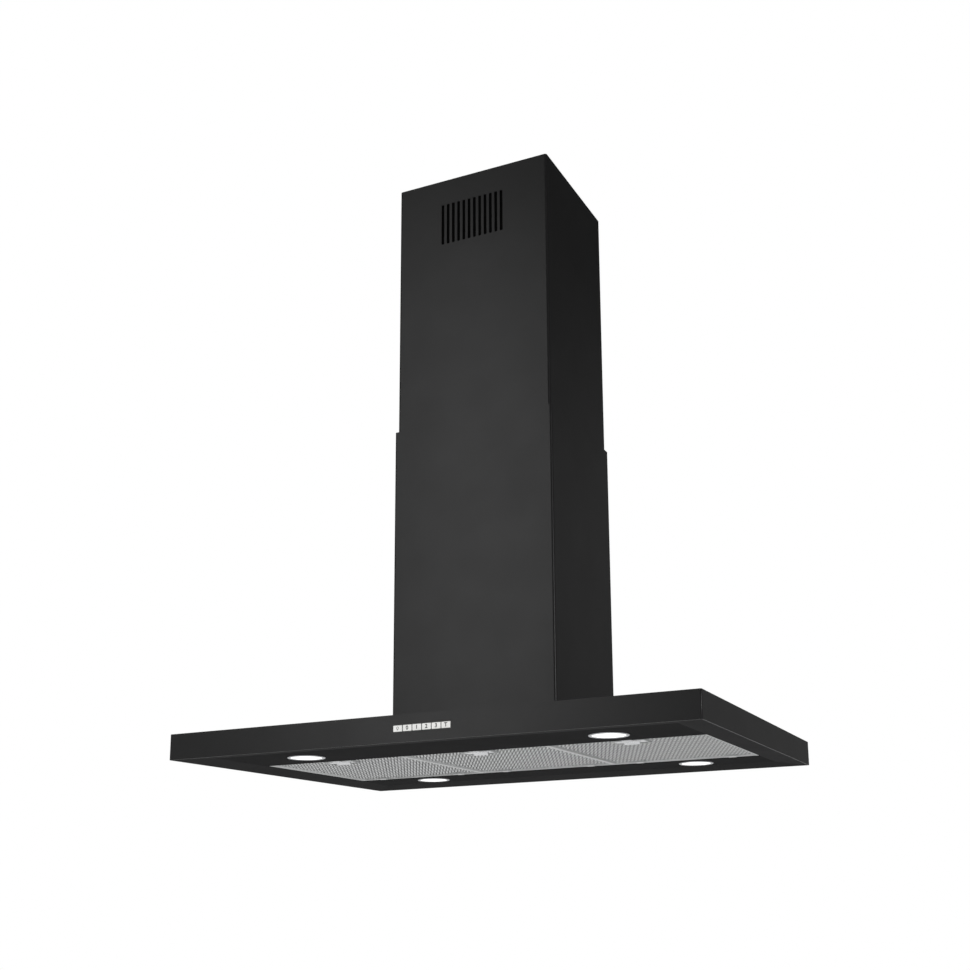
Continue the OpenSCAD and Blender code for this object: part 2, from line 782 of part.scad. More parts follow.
module front_left_lamp_bezel() { lamp_bezel(-1, front_lamp_y); }
module front_left_lamp_lens() { lamp_lens(-1, front_lamp_y); }
module front_left_lamp_body() { lamp_body(-1, front_lamp_y); }
module front_right_lamp_bezel() { lamp_bezel(1, front_lamp_y); }
module front_right_lamp_lens() { lamp_lens(1, front_lamp_y); }
module front_right_lamp_body() { lamp_body(1, front_lamp_y); }
module rear_left_lamp_bezel() { lamp_bezel(-1, rear_lamp_y); }
module rear_left_lamp_lens() { lamp_lens(-1, rear_lamp_y); }
module rear_left_lamp_body() { lamp_body(-1, rear_lamp_y); }
module rear_right_lamp_bezel() { lamp_bezel(1, rear_lamp_y); }
module rear_right_lamp_lens() { lamp_lens(1, rear_lamp_y); }
module rear_right_lamp_body() { lamp_body(1, rear_lamp_y); }

// Controls

// Plate in the front wall with a window for each key
module control_bezel() {
    color(black_plastic) difference() {
        block([key_row_x - bezel_w / 2, front_y, key_z - bezel_h / 2],
            [key_row_x + bezel_w / 2, front_y + bezel_t, key_z + bezel_h / 2]);
        for (i = [0 : key_count - 1])
            translate([key_x(i) - key_w / 2 - key_clear, front_y - cut, key_z - key_h / 2 - key_clear])
                cube([key_w + 2 * key_clear, bezel_t + 2 * cut, key_h + 2 * key_clear]);
    }
}

// Key cap with a flange above and below that stays behind the bezel
module key_cap(i) {
    y = front_y - key_proud;
    flange_y = front_y + bezel_t + slip;
    color(key_grey) translate([key_x(i), 0, key_z]) {
        block([-key_w / 2, y, -key_h / 2], [key_w / 2, y + key_depth, key_h / 2]);
        block([-key_w / 2, flange_y, -key_h / 2 - key_flange_h],
            [key_w / 2, flange_y + key_flange_t, key_h / 2 + key_flange_h]);
    }
}

module lamp_key() { key_cap(0); }
module off_key() { key_cap(1); }
module speed_1_key() { key_cap(2); }
module speed_2_key() { key_cap(3); }
module speed_3_key() { key_cap(4); }
module timer_key() { key_cap(5); }

module control_housing() {
    y = front_y + canopy_t;
    color(black_plastic) difference() {
        block([key_row_x - housing_w / 2, y, key_z - housing_h / 2],
            [key_row_x + housing_w / 2, y + housing_d, key_z + housing_h / 2]);
        block([key_row_x - housing_w / 2 + housing_wall, y - cut, key_z - housing_h / 2 + housing_wall],
            [key_row_x + housing_w / 2 - housing_wall, y + housing_d - housing_wall,
            key_z + housing_h / 2 - housing_wall]);
    }
}

// Circuit board across the housing, with a switch behind each key
module control_board() {
    w = housing_w / 2 - housing_wall - seat;
    h = housing_h / 2 - housing_wall - seat;
    color("darkgreen") translate([0, 0, key_z]) {
        block([key_row_x - w, board_y, -h], [key_row_x + w, board_y + board_t, h]);
        for (i = [0 : key_count - 1])
            translate([key_x(i), board_y, 0]) rotate([90, 0, 0]) cylinder(h = switch_h, r = switch_r);
    }
}

// Electrics

module electrics_box() {
    x = box_w / 2;
    color(steel) difference() {
        block([x, -ebox_d / 2, ebox_z], [x + ebox_depth, ebox_d / 2, ebox_z + ebox_h]);
        block([x + ebox_t, -ebox_d / 2 + ebox_t, ebox_z + ebox_t],
            [x + ebox_depth + cut, ebox_d / 2 - ebox_t, ebox_z + ebox_h - ebox_t]);
        translate([gland_x, gland_y, gland_z - ebox_t - cut])
            cylinder(h = ebox_t + 2 * cut, r = gland_body_r + screw_fit);
    }
}

module electrics_cover() {
    x = box_w / 2 + ebox_depth;
    color(steel) block([x, -ebox_d / 2, ebox_z], [x + ebox_t, ebox_d / 2, ebox_z + ebox_h]);
}

module cable_gland() {
    color(black_plastic) translate([gland_x, gland_y, gland_z]) difference() {
        union() {
            cylinder(h = gland_head_h, r = gland_head_r, $fn = 6);
            translate([0, 0, -ebox_t - gland_tail_h]) cylinder(h = ebox_t + gland_tail_h, r = gland_body_r);
        }
        translate([0, 0, -ebox_t - gland_tail_h - cut])
            cylinder(h = gland_head_h + ebox_t + gland_tail_h + 2 * cut, r = gland_bore_r);
    }
}

// Blower

// Sheet box over the canopy's inlet, with the duct hole in its top
module blower_box() {
    color(steel) difference() {
        translate([-box_w / 2, -box_d / 2, canopy_top]) cube([box_w, box_d, box_h]);
        translate([-box_w / 2 + box_t, -box_d / 2 + box_t, canopy_top + box_t])
            cube([box_w - 2 * box_t, box_d - 2 * box_t, box_h - 2 * box_t]);
        translate([-inlet_w / 2, -inlet_d / 2, canopy_top - cut]) cube([inlet_w, inlet_d, box_t + 2 * cut]);
        translate([0, 0, box_top - box_t - cut]) cylinder(h = box_t + 2 * cut, r = collar_in_r);
    }
}

// Side view of the scroll with its throat up to the box's top: Y to the right, Z up
module scroll_profile(inset) {
    rise = box_top - box_t - scroll_z;
    circle(scroll_r - inset);
    translate([-throat_half - scroll_y + inset, 0])
        square([2 * throat_half - 2 * inset, rise + inset]);
}

// Half of the scroll housing, mirrored for the left side
module scroll_half() {
    half = scroll_w / 2;
    translate([0, scroll_y, scroll_z]) rotate([90, 0, 90]) difference() {
        linear_extrude(half) intersection() {
            scroll_profile(0);
            translate([-box_d, -box_h]) square([2 * box_d, box_h + box_top - box_t - scroll_z]);
        }
        translate([0, 0, -cut]) linear_extrude(half - scroll_t + cut) scroll_profile(scroll_t);
        cylinder(h = half + cut, r = inlet_r);
    }
}

module blower_housing_left() {
    color(black_plastic) mirror([1, 0, 0]) scroll_half();
}

module blower_housing_right() {
    color(black_plastic) scroll_half();
}

// Bell-mouth rings round both inlets
module inlet_rings() {
    color(black_plastic) for (s = [0, 1])
        mirror([s, 0, 0]) translate([scroll_w / 2, scroll_y, scroll_z]) rotate([0, 90, 0])
            rotate_extrude() translate([inlet_r, 0]) intersection() {
                translate([ring_r, 0]) circle(ring_r);
                translate([0, 0]) square([2 * ring_r, ring_r]);
            }
}

module motor() {
    color(steel) translate([motor_gap, scroll_y, scroll_z]) rotate([0, 90, 0]) difference() {
        cylinder(h = motor_l, r = motor_r);
        translate([0, 0, -cut]) cylinder(h = motor_bore_l + cut, r = shaft_r + run_fit);
    }
}

// Three-armed bracket from the motor's case to the right side of the housing
module motor_mount() {
    x = scroll_w / 2 + ring_r;
    color(steel) translate([x, scroll_y, scroll_z]) rotate([0, 90, 0]) difference() {
        union() {
            cylinder(h = mount_t, r = motor_r + arm_w);
            for (a = [0, 120, 240]) rotate(a) {
                translate([0, -arm_w / 2, 0]) cube([inlet_r + 2 * ring_r + arm_reach, arm_w, mount_t]);
                translate([inlet_r + 2 * ring_r, -arm_w / 2, -ring_r]) cube([arm_reach, arm_w, ring_r]);
            }
        }
        translate([0, 0, -cut]) cylinder(h = mount_t + 2 * cut, r = motor_r + seat);
    }
}

module motor_shaft() {
    low = -hub_l - shaft_tail;
    color(steel) translate([low, scroll_y, scroll_z]) rotate([0, 90, 0])
        cylinder(h = motor_gap + motor_bore_l - low - slip, r = shaft_r);
}

// Drum impeller: centre disc and hub, blades across the full width, and a ring at each end
module impeller() {
    half = impeller_w / 2;
    blade_r = impeller_r - blade_d;
    color(aluminium) translate([0, scroll_y, scroll_z]) rotate([0, 90, 0]) difference() {
        union() {
            translate([0, 0, -hub_t]) cylinder(h = hub_t, r = impeller_r);
            translate([0, 0, -hub_l]) cylinder(h = hub_l, r = hub_r);
            for (z = [-half, half - rim_ring_t])
                translate([0, 0, z]) ring(impeller_r, blade_r, rim_ring_t);
            for (i = [0 : blade_count - 1])
                rotate(i * 360 / blade_count) translate([blade_r + blade_t, 0, -half]) rotate(blade_angle)
                    translate([0, -blade_t / 2, 0]) cube([blade_d - blade_t, blade_t, impeller_w]);
        }
        translate([0, 0, -hub_l - cut]) cylinder(h = hub_l + 2 * cut, r = shaft_r + seat);
    }
}

// Outlet

// Round duct collar with a foot flange and the ledge that the flaps close on
module outlet_collar() {
    stop_z = flap_rise - flap_t / 2 - slip - stop_t;
    color(black_plastic) translate([0, 0, box_top]) difference() {
        union() {
            ring(duct_r, collar_in_r, collar_h);
            ring(collar_flange_r, collar_in_r, collar_flange_t);
            translate([0, 0, stop_z]) ring(duct_r - collar_t / 2, collar_in_r - stop_w, stop_t);
        }
        translate([-duct_r - cut, 0, flap_rise]) rotate([0, 90, 0])
            cylinder(h = 2 * duct_r + 2 * cut, r = pin_r + run_fit);
    }
}

module flap_pin() {
    half = duct_r - collar_t / 4;
    color(steel) translate([-half, 0, flap_z]) rotate([0, 90, 0]) cylinder(h = 2 * half, r = pin_r);
}

// Half-round flap on the -Y side with three knuckles on the pin; the rear flap is turned half round
module flap() {
    radius = collar_in_r - flap_edge;
    gap_y = knuckle_r + slip;
    knuckle_x = [-2 * knuckle_step, 0, 2 * knuckle_step];
    difference() {
        union() {
            translate([0, 0, -flap_t / 2]) difference() {
                cylinder(h = flap_t, r = radius);
                translate([-radius - cut, -gap_y, -cut]) cube([2 * radius + 2 * cut, radius + gap_y + cut, flap_t + 2 * cut]);
            }
            for (x = knuckle_x) translate([x - knuckle_step / 2 - knuckle_w / 2, 0, 0]) {
                rotate([0, 90, 0]) cylinder(h = knuckle_w, r = knuckle_r);
                translate([0, -gap_y - slip, -flap_t / 2]) cube([knuckle_w, gap_y + slip, flap_t]);
            }
        }
        translate([-radius - cut, 0, 0]) rotate([0, 90, 0])
            cylinder(h = 2 * radius + 2 * cut, r = pin_r + run_fit);
    }
}

module front_flap() {
    color(black_plastic) translate([0, 0, flap_z]) flap();
}

module rear_flap() {
    color(black_plastic) translate([0, 0, flap_z]) rotate(180) flap();
}

ceiling_plate();
upper_frame();
frame_fasteners();
upper_chimney();
outlet_louvres();
lower_chimney();
chimney_glides();
lower_frame();
frame_screws();
canopy_shell();
underside_border();
front_lamp_panel();
rear_lamp_panel();
front_filter_rail();
rear_filter_rail();
left_filter_frame();
left_filter_mesh();
left_filter_latch();
middle_filter_frame();
middle_filter_mesh();
middle_filter_latch();
right_filter_frame();
right_filter_mesh();
right_filter_latch();
front_left_lamp_bezel();
front_left_lamp_lens();
front_left_lamp_body();
front_right_lamp_bezel();
front_right_lamp_lens();
front_right_lamp_body();
rear_left_lamp_bezel();
rear_left_lamp_lens();
rear_left_lamp_body();
rear_right_lamp_bezel();
rear_right_lamp_lens();
rear_right_lamp_body();
control_bezel();
control_housing();
control_board();
lamp_key();
off_key();
speed_1_key();
speed_2_key();
speed_3_key();
timer_key();
electrics_box();
electrics_cover();
cable_gland();
blower_box();
blower_housing_left();
blower_housing_right();
inlet_rings();
motor();
motor_mount();
motor_shaft();
impeller();
outlet_collar();
front_flap();
rear_flap();
flap_pin();
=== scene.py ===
# Looks of the chimney range hood: materials, dressed pieces, light and camera.
import math

import bmesh
import bpy
from mathutils import Matrix, Vector


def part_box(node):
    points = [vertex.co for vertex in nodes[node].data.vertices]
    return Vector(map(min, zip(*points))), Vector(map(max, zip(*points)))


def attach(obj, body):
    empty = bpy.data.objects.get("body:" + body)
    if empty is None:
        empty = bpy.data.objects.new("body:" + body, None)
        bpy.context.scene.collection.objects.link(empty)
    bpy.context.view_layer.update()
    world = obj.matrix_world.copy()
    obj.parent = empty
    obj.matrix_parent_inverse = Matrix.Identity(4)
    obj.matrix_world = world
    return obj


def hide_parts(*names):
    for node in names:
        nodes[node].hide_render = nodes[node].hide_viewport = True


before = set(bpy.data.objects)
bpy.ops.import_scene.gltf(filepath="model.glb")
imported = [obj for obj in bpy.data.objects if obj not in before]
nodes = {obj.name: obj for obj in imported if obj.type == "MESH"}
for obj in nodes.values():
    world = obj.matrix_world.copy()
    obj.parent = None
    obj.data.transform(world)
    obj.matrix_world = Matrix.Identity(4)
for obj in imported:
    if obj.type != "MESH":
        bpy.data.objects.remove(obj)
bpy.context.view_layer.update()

MM = 0.001
KEYS = ["lamp_key", "off_key", "speed_1_key", "speed_2_key", "speed_3_key", "timer_key"]
SIDES = ["left", "middle", "right"]
LAMPS = ["front_left", "front_right", "rear_left", "rear_right"]


# Material helpers

# Painted shade on the mesh layers, in place of the light and shade that crossing corrugations show: the pitch
# of its bands, their turn from the depth axis, and where the ramp ends
SHADE_BAND_PITCH = 6.5 * MM
SHADE_BAND_TURN = math.radians(22)
SHADE_BAND_DARKNESS = 0.38
SHADE_BAND_RAMP = (0.03, 0.5)
# Blender's wave texture repeats every pi / 10 at a scale of one
WAVE_TEXTURE_PERIOD = math.pi / 10

# Share of metal in each metallic surface: dull ones scatter some light as well
BRUSHED_METALLIC, MESH_METALLIC, ZINC_METALLIC = 0.75, 0.5, 0.6

# Noise scales for a metre: slow ones for colour and gloss, fine ones for the grain
COAT_CLOUDS, COAT_GLOSS, COAT_PEEL = 9.0, 14.0, 900.0
BRUSH_LINES, BRUSH_DETAIL = 60.0, 6.0
MESH_GLOSS, MESH_GRAIN = 90.0, 500.0
ZINC_CRYSTALS, ZINC_GRAIN = 110.0, 300.0
PLASTIC_CLOUDS, PLASTIC_GLOSS, PLASTIC_GRAIN = 40.0, 120.0, 1500.0
FROST_CLOUDS, FROST_GRAIN = 200.0, 700.0
FLOOR_CLOUDS = 1.5
SOFT_DETAIL, FINE_DETAIL = 4.0, 2.0
GRAIN_H = 0.2 * MM


def new_material(name, color, metallic, roughness, specular=0.5):
    """A node material with one Principled shader, and its handles."""
    material = bpy.data.materials.new(name)
    material.use_nodes = True
    tree = material.node_tree
    shader = tree.nodes["Principled BSDF"]
    shader.inputs["Base Color"].default_value = (*color, 1)
    shader.inputs["Metallic"].default_value = metallic
    shader.inputs["Roughness"].default_value = roughness
    shader.inputs["Specular IOR Level"].default_value = specular
    return material, tree, shader


def object_coords(tree, scale=(1, 1, 1), turn=0.0):
    """The object's own coordinates in metres, scaled or turned about Z if asked."""
    coords = tree.nodes.new("ShaderNodeTexCoord")
    mapping = tree.nodes.new("ShaderNodeMapping")
    mapping.inputs["Scale"].default_value = scale
    mapping.inputs["Rotation"].default_value = (0, 0, turn)
    tree.links.new(coords.outputs["Object"], mapping.inputs["Vector"])
    return mapping.outputs["Vector"]


def object_noise(tree, scale, detail=SOFT_DETAIL, stretch=(1, 1, 1)):
    """A noise texture on the object, stretched if asked."""
    noise = tree.nodes.new("ShaderNodeTexNoise")
    noise.inputs["Scale"].default_value = scale
    noise.inputs["Detail"].default_value = detail
    tree.links.new(object_coords(tree, stretch), noise.inputs["Vector"])
    return noise.outputs["Fac"]


def math_node(tree, operation, first, second):
    """One sum of a socket with another socket or with a number."""
    node = tree.nodes.new("ShaderNodeMath")
    node.operation = operation
    tree.links.new(first, node.inputs[0])
    if isinstance(second, float):
        node.inputs[1].default_value = second
    else:
        tree.links.new(second, node.inputs[1])
    return node.outputs["Value"]


def painted_crossing_shade(tree):
    """Two sets of slanted bands with dots where they meet: painted shade for the light and shade that
    crossing corrugations show.
    """
    sets = []
    for turn in (SHADE_BAND_TURN, -SHADE_BAND_TURN):
        bands = tree.nodes.new("ShaderNodeTexWave")
        bands.inputs["Scale"].default_value = WAVE_TEXTURE_PERIOD / SHADE_BAND_PITCH
        tree.links.new(object_coords(tree, turn=turn), bands.inputs["Vector"])
        sets.append(bands.outputs["Fac"])
    return math_node(tree, "MULTIPLY", *sets)


def color_from(tree, shader, factor, low, high, start=0.35, end=0.65):
    """Base colour between two colours by a factor."""
    ramp = tree.nodes.new("ShaderNodeValToRGB")
    ramp.color_ramp.elements[0].position = start
    ramp.color_ramp.elements[1].position = end
    ramp.color_ramp.elements[0].color = (*low, 1)
    ramp.color_ramp.elements[1].color = (*high, 1)
    tree.links.new(factor, ramp.inputs["Fac"])
    tree.links.new(ramp.outputs["Color"], shader.inputs["Base Color"])


def roughness_from(tree, shader, factor, middle, swing):
    """Roughness that swings about a middle value by a factor."""
    spread = tree.nodes.new("ShaderNodeMapRange")
    spread.inputs["To Min"].default_value = middle - swing
    spread.inputs["To Max"].default_value = middle + swing
    tree.links.new(factor, spread.inputs["Value"])
    tree.links.new(spread.outputs["Result"], shader.inputs["Roughness"])


def bump_from(tree, shader, factor, strength, height=GRAIN_H):
    """Bump by a factor, with a height in metres."""
    bump = tree.nodes.new("ShaderNodeBump")
    bump.inputs["Strength"].default_value = strength
    bump.inputs["Distance"].default_value = height
    tree.links.new(factor, bump.inputs["Height"])
    tree.links.new(bump.outputs["Normal"], shader.inputs["Normal"])


def shaded(color, share):
    """A colour made darker or lighter by a share."""
    return tuple(channel * share for channel in color)


def powder_coat(name, color, roughness, specular=0.5):
    """Satin powder coat: fine orange peel, and faint clouds in colour and gloss."""
    material, tree, shader = new_material(name, color, 0.0, roughness, specular)
    color_from(tree, shader, object_noise(tree, COAT_CLOUDS), shaded(color, 0.9), shaded(color, 1.1))
    roughness_from(tree, shader, object_noise(tree, COAT_GLOSS), roughness, swing=0.04)
    bump_from(tree, shader, object_noise(tree, COAT_PEEL, FINE_DETAIL), strength=0.12)
    return material


def brushed_metal(name, color, roughness, stretch):
    """Metal with fine lines along one axis."""
    material, tree, shader = new_material(name, color, BRUSHED_METALLIC, roughness)
    lines = object_noise(tree, BRUSH_LINES, BRUSH_DETAIL, stretch)
    color_from(tree, shader, lines, shaded(color, 0.82), color)
    roughness_from(tree, shader, lines, roughness, swing=0.08)
    bump_from(tree, shader, lines, strength=0.08)
    return material


def mesh_metal(name, color, roughness):
    """Metal of the mesh layers, darkened in crossing bands: painted shade where the strands of crossing
    layers meet.
    """
    material, tree, shader = new_material(name, color, MESH_METALLIC, roughness)
    # Painted shade: the base colour darkens in bands and dots where the layers cross
    color_from(tree, shader, painted_crossing_shade(tree), shaded(color, SHADE_BAND_DARKNESS), color, *SHADE_BAND_RAMP)
    roughness_from(tree, shader, object_noise(tree, MESH_GLOSS), roughness, swing=0.06)
    bump_from(tree, shader, object_noise(tree, MESH_GRAIN, FINE_DETAIL), strength=0.1)
    return material


def zinc_plate(name, color, roughness):
    """Zinc-plated sheet with large soft crystals."""
    material, tree, shader = new_material(name, color, ZINC_METALLIC, roughness)
    crystals = tree.nodes.new("ShaderNodeTexVoronoi")
    crystals.inputs["Scale"].default_value = ZINC_CRYSTALS
    tree.links.new(object_coords(tree), crystals.inputs["Vector"])
    split = tree.nodes.new("ShaderNodeSeparateColor")
    tree.links.new(crystals.outputs["Color"], split.inputs["Color"])
    color_from(tree, shader, split.outputs["Red"], shaded(color, 0.75), color, 0.0, 1.0)
    roughness_from(tree, shader, split.outputs["Green"], roughness, swing=0.07)
    bump_from(tree, shader, object_noise(tree, ZINC_GRAIN), strength=0.05)
    return material


def moulded_plastic(name, color, roughness, grain=PLASTIC_GRAIN, specular=0.5):
    """Plastic with a fine moulded grain."""
    material, tree, shader = new_material(name, color, 0.0, roughness, specular)
    color_from(tree, shader, object_noise(tree, PLASTIC_CLOUDS), shaded(color, 0.9), shaded(color, 1.08))
    roughness_from(tree, shader, object_noise(tree, PLASTIC_GLOSS), roughness, swing=0.05)
    bump_from(tree, shader, object_noise(tree, grain, FINE_DETAIL), strength=0.15, height=GRAIN_H / 2)
    return material


LAMP_LIGHT = (1.0, 0.99, 0.97)
FROST_ROUGHNESS = 0.35


def lamp_glass(name, color, glow):
    """Frosted lens, lit softly from behind."""
    material, tree, shader = new_material(name, color, 0.0, FROST_ROUGHNESS)
    color_from(tree, shader, object_noise(tree, FROST_CLOUDS), shaded(color, 0.97), color)
    bump_from(tree, shader, object_noise(tree, FROST_GRAIN, FINE_DETAIL), strength=0.2)
    shader.inputs["Emission Color"].default_value = (*LAMP_LIGHT, 1)
    shader.inputs["Emission Strength"].default_value = glow
    return material


BLACK = powder_coat("satin_black", (0.0065, 0.0065, 0.0067), 0.34, 0.48)
UNDER_BLACK = powder_coat("under_black", (0.0118, 0.0118, 0.0122), 0.7, 0.012)
# Painted light: the border has the lamp panels' paint, made lighter because the sloped border catches more
# light
BORDER_BLACK_PAINTED_LIGHT = powder_coat("border_black_painted_light", (0.0178, 0.0178, 0.0182), 0.7, 0.02)
MESH = mesh_metal("filter_mesh_metal", (0.79, 0.8, 0.8), 0.38)
INNER_MESH = mesh_metal("inner_mesh_metal", (0.68, 0.69, 0.69), 0.42)
RIM_METAL = brushed_metal("filter_rim_metal", (0.68, 0.69, 0.69), 0.36, (1, 12, 12))
LATCH = brushed_metal("latch_metal", (0.86, 0.87, 0.88), 0.24, (1, 14, 14))
ZINC = zinc_plate("zinc_plated_steel", (0.6, 0.61, 0.62), 0.36)
RING = brushed_metal("lamp_ring_metal", (0.6, 0.61, 0.63), 0.32, (8, 8, 8))
LENS = lamp_glass("lamp_lens_frost", (0.95, 0.95, 0.94), 1.0)
PLASTIC = moulded_plastic("black_plastic", (0.02, 0.02, 0.021), 0.5)
BEZEL = moulded_plastic("bezel_plastic", (0.03, 0.03, 0.03), 0.45)
KEYCAP = moulded_plastic("key_plastic", (0.84, 0.84, 0.82), 0.33)
# Black plastic louvres, made near black and without gloss so the vent slots show painted shade
SLAT_PAINTED_SHADE = moulded_plastic("louvre_plastic_painted_shade", (0.002, 0.002, 0.002), 0.8, grain=600.0, specular=0.05)
ICON = moulded_plastic("icon_print", (0.015, 0.015, 0.016), 0.5)
BOARD = moulded_plastic("board_green", (0.02, 0.1, 0.045), 0.4)

MATERIAL_OF = {
    "canopy_shell": BLACK, "upper_chimney": BLACK, "lower_chimney": BLACK,
    "underside_border": BORDER_BLACK_PAINTED_LIGHT, "front_lamp_panel": UNDER_BLACK, "rear_lamp_panel": UNDER_BLACK,
    "front_filter_rail": UNDER_BLACK, "rear_filter_rail": UNDER_BLACK,
    "ceiling_plate": ZINC, "upper_frame": ZINC, "lower_frame": ZINC, "frame_fasteners": ZINC,
    "frame_screws": ZINC, "electrics_box": ZINC, "electrics_cover": ZINC, "blower_box": ZINC,
    "motor": ZINC, "motor_mount": ZINC, "motor_shaft": LATCH, "flap_pin": LATCH, "impeller": MESH,
    "chimney_glides": PLASTIC, "control_housing": PLASTIC, "cable_gland": PLASTIC,
    "blower_housing_left": PLASTIC, "blower_housing_right": PLASTIC, "inlet_rings": PLASTIC,
    "outlet_collar": PLASTIC, "front_flap": PLASTIC, "rear_flap": PLASTIC,
    "outlet_louvres": SLAT_PAINTED_SHADE, "control_bezel": BEZEL, "control_board": BOARD,
}
for side in SIDES:
    MATERIAL_OF[side + "_filter_frame"] = RIM_METAL
    MATERIAL_OF[side + "_filter_mesh"] = MESH
    MATERIAL_OF[side + "_filter_latch"] = LATCH
for lamp in LAMPS:
    MATERIAL_OF[lamp + "_lamp_bezel"] = RING
    MATERIAL_OF[lamp + "_lamp_lens"] = LENS
    MATERIAL_OF[lamp + "_lamp_body"] = PLASTIC
for key in KEYS:
    MATERIAL_OF[key] = KEYCAP
for name, node in nodes.items():
    node.data.materials.clear()
    node.data.materials.append(MATERIAL_OF[name])


# The hooks on the rear rail are plated, and the rail itself is painted
RAIL_T = 1.25 * MM
rail = nodes["rear_filter_rail"]
rail.data.materials.append(RIM_METAL)
hook_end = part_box("rear_filter_rail")[1].y - RAIL_T
for face in rail.data.polygons:
    if (rail.matrix_world @ face.center).y < hook_end:
        face.material_index = 1


# Mesh helpers


WELD_REACH = 0.02 * MM
SOFT_ANGLE = 35


def add_bevel(obj, width, segments, angle):
    """Rounds the edges that turn by more than an angle."""
    bevel = obj.modifiers.new("bevel", "BEVEL")
    bevel.width = width
    bevel.segments = segments
    bevel.limit_method = "ANGLE"
    bevel.angle_limit = math.radians(angle)
    return bevel


def soften(obj, width):
    """Rounds the sharp edges of a CAD node by a small radius."""
    weld = obj.modifiers.new("weld", "WELD")
    weld.merge_threshold = WELD_REACH
    add_bevel(obj, width, segments=2, angle=SOFT_ANGLE).harden_normals = True


def piece_from(name, bm, material, body, node_names=(), smooth_angle=None):
    """Makes a piece from a bmesh in the row frame and lets it ride on a body."""
    mesh = bpy.data.meshes.new(name)
    bmesh.ops.recalc_face_normals(bm, faces=bm.faces)
    bm.to_mesh(mesh)
    bm.free()
    mesh.materials.append(material)
    obj = bpy.data.objects.new(name, mesh)
    bpy.context.scene.collection.objects.link(obj)
    if smooth_angle is not None:
        mesh.shade_smooth()
        mesh.set_sharp_from_angle(angle=math.radians(smooth_angle))
    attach(obj, body)
    if node_names:
        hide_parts(*node_names)
    return obj


def add_block(bm, low, high):
    """Adds a cuboid between two corners."""
    made = bmesh.ops.create_cube(bm, size=1.0)["verts"]
    low, high = Vector(low), Vector(high)
    size, middle = high - low, (high + low) / 2
    for vert in made:
        vert.co = Vector((vert.co[i] * size[i] + middle[i] for i in range(3)))


def add_lathe(bm, profile, centre, steps):
    """Turns a closed profile of (radius, height) points about an upright axis."""
    rings = []
    for step in range(steps):
        angle = 2 * math.pi * step / steps
        rings.append([bm.verts.new((centre[0] + r * math.cos(angle), centre[1] + r * math.sin(angle), z))
                      for r, z in profile])
    for step in range(steps):
        here, there = rings[step], rings[(step + 1) % steps]
        for i in range(len(profile)):
            k = (i + 1) % len(profile)
            bm.faces.new((here[i], there[i], there[k], here[k]))


# The canopy keeps its CAD shape, with slightly rolled edges

EDGE = 0.3 * MM
for name in ["canopy_shell", "underside_border", "front_lamp_panel", "rear_lamp_panel"]:
    soften(nodes[name], EDGE)


# Filters: an expanded outer sheet, a waved inner layer and an expanded top sheet

# Diamond cells: size, open share, lift, strand tilt and thickness, and how much wider the top ones are
CELL_X = 6.3 * MM
CELL_Y = 10.9 * MM
HOLE_SHARE = 0.6
SHEET_RISE = 0.35 * MM
TILT = 0.8 * SHEET_RISE
STRAND = 0.3 * MM
COARSE = 1.8
TOP_DROP = 0.6 * MM
# Waved layer: wave length, slant from the depth axis, points to a wave, row depth, and its low and high reach
WAVE = 8.6 * MM
WAVE_SLANT = math.radians(13.3)
WAVE_STEPS = 6
ROW_D = 6.0 * MM
WAVE_Z = 1.3 * MM
WAVE_H = 2.0 * MM
WAVE_SMOOTH = 60
# Openings in the mesh: the gap around the latch pocket, and the hinge notches at each side of the middle
POCKET_GAP = 1.3 * MM
POCKET_REAR = 7.3 * MM
HINGE_X = 85 * MM
MESH_NOTCH_HALF = 11.4 * MM
MESH_NOTCH_D = 13.2 * MM
FRAME_EDGE = 0.25 * MM


def expanded_sheet(bm, low, high, z, coarse, blocks):
    """Diamond cells with open holes, cut at a rectangle and open at the blocks."""
    cell_x, cell_y = CELL_X * coarse, CELL_Y * coarse
    corners = ((0.5, 0), (0, 0.5), (-0.5, 0), (0, -0.5))
    columns = math.ceil((high[0] - low[0]) / cell_x) + 1
    rows = math.ceil((high[1] - low[1]) / cell_y) + 1
    grid = {}

    def lattice(i, k):
        if (i, k) not in grid:
            grid[i, k] = bm.verts.new((low[0] + i * cell_x / 2, low[1] + k * cell_y / 2, z))
        return grid[i, k]

    for i in range(2 * columns):
        for k in range(2 * rows):
            if (i + k) % 2:
                continue
            x, y = low[0] + i * cell_x / 2, low[1] + k * cell_y / 2
            outer = [lattice(i + round(2 * cx), k + round(2 * cy)) for cx, cy in corners]
            inner = [bm.verts.new((x + cx * cell_x * HOLE_SHARE, y + cy * cell_y * HOLE_SHARE,
                                   z + (TILT if cx else -TILT))) for cx, cy in corners]
            for a in range(4):
                b = (a + 1) % 4
                bm.faces.new((outer[a], outer[b], inner[b], inner[a]))
    cut_to(bm, low, high, z)
    cut_blocks(bm, blocks, max(cell_x, cell_y))


def cut_to(bm, low, high, z):
    """Cuts a sheet at the four sides of a rectangle."""
    for axis, value, sign in ((0, low[0], -1), (0, high[0], 1), (1, low[1], -1), (1, high[1], 1)):
        place, normal = Vector((0, 0, z)), Vector((0, 0, 0))
        place[axis], normal[axis] = value, sign
        bmesh.ops.bisect_plane(bm, geom=bm.verts[:] + bm.edges[:] + bm.faces[:], plane_co=place,
                               plane_no=normal, clear_outer=True)


